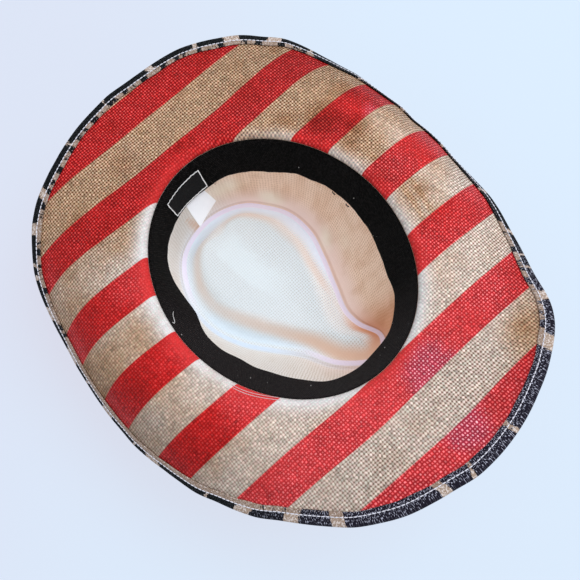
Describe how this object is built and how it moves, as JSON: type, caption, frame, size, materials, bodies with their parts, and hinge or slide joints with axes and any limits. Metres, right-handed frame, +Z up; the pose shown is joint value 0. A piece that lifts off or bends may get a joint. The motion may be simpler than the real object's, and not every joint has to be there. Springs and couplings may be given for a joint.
{
  "type": "straw cowboy hat",
  "caption": "Woven straw cowboy hat lying on its crown, with an upswept oval brim, bound rim, black sweatband and a teardrop dent in the pinched crown.",
  "frame": {"origin": "on the surface that the hat lies on, below the middle of the head opening", "axes": "+Z up out of the head opening, -Y toward the front of the hat, +X toward the wearer's right as the hat lies upside down"},
  "size_m": [0.3153, 0.3659, 0.1473],
  "materials": {
    "striped_straw": "woven paper straw printed in red and natural tan stripes, thin satin sizing",
    "rim_tape": "folded woven tape in navy-black patches on tan, sewn with white thread",
    "band_cloth": "black ribbed cloth, matt",
    "label_black": "black woven label with a thin pale border, bare",
    "label_white": "white satin label, bare"
  },
  "bodies": {
    "root": {"straw_body": "striped_straw", "rim_binding": "rim_tape", "sweatband": "band_cloth", "band_label": "label_black", "care_label": "label_white"}
  },
  "joints": []
}
